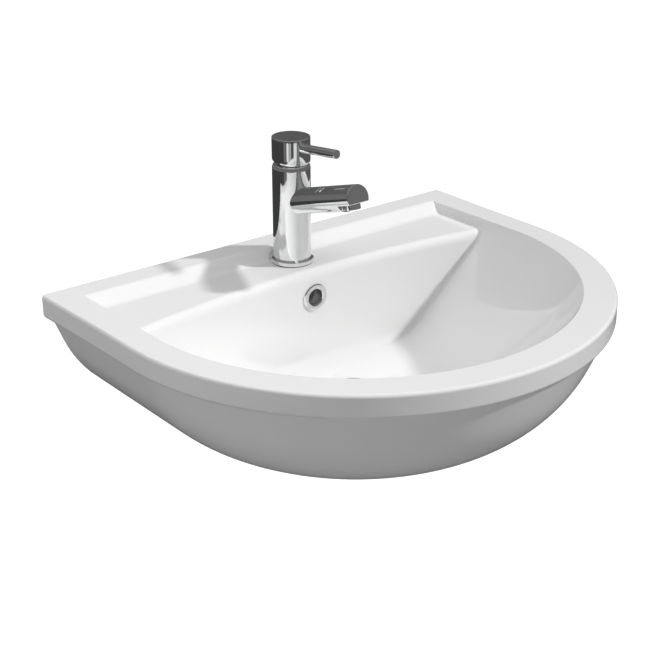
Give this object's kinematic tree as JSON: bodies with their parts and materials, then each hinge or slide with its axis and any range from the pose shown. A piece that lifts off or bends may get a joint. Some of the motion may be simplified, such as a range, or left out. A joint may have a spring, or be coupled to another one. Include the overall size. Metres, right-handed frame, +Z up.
{
  "type": "pedestal basin",
  "caption": "D-shaped glazed ceramic wash basin with a flat rim band, tap deck, single-lever mixer tap, overflow ring and click waste.",
  "frame": {"origin": "midway between the two wall-fixing holes, on the basin's wall face", "axes": "+X across the basin to the right as seen from the front, +Y into the wall, +Z up"},
  "size_m": [0.5496, 0.44, 0.3502],
  "materials": {
    "glaze": "gloss",
    "chrome": "polished",
    "rubber": "matte",
    "white_plastic": "satin",
    "grey_plastic": "satin",
    "disc_ceramic": "ground",
    "steel": "plain",
    "brass": "machined"
  },
  "bodies": {
    "fixed_assembly": {"basin": "glaze", "overflow_ring": "chrome", "tap_body": "chrome", "tap_base_ring": "chrome", "aerator_housing": "chrome", "waste_body": "chrome", "tap_base_seal": "rubber", "aerator_seal": "rubber", "cartridge_seal": "rubber", "tap_rubber_washer": "rubber", "waste_top_seal": "rubber", "waste_bottom_seal": "rubber", "aerator_insert": "white_plastic", "cartridge_housing": "white_plastic", "waste_slip_washer": "white_plastic", "waste_backnut": "white_plastic", "plug_sleeve": "white_plastic", "cartridge_fixed_disc": "disc_ceramic", "tap_clamp_plate": "steel", "tap_fixing_stud": "steel", "cartridge_nut": "brass", "tap_fixing_nut": "brass"},
    "handle_swivel": {"cartridge_rotor": "white_plastic", "cartridge_pivot_pin": "steel"},
    "handle": {"cartridge_stem": "brass", "handle_cap": "chrome", "handle_lever": "chrome", "handle_grub_screw": "steel", "handle_index_plug": "grey_plastic"},
    "valve_disc": {"cartridge_moving_disc": "disc_ceramic", "cartridge_disc_carrier": "white_plastic"},
    "waste_plug": {"plug_cap": "chrome", "plug_seal": "rubber", "plug_stem": "steel"}
  },
  "joints": [
    {"name": "handle_turn", "type": "hinge", "parent": "fixed_assembly", "child": "handle_swivel", "pos_m": [0, -0.0635, 0.162], "axis": [0, 0, 1], "range_deg": [-45, 45]},
    {"name": "handle_tilt", "type": "hinge", "parent": "handle_swivel", "child": "handle", "pos_m": [0, -0.0635, 0.162], "axis": [-1, 0, 0], "range_deg": [0, 18]},
    {"name": "disc_slide", "type": "slide", "parent": "handle_swivel", "child": "valve_disc", "axis": [0, -1, 0], "range_m": [0, 0.003]},
    {"name": "plug_lift", "type": "slide", "parent": "fixed_assembly", "child": "waste_plug", "axis": [0, 0, 1], "range_m": [0, 0.008]}
  ],
  "couplings": [
    {"joint": "disc_slide", "follows": "handle_tilt", "m_per_rad": 0.00905}
  ]
}
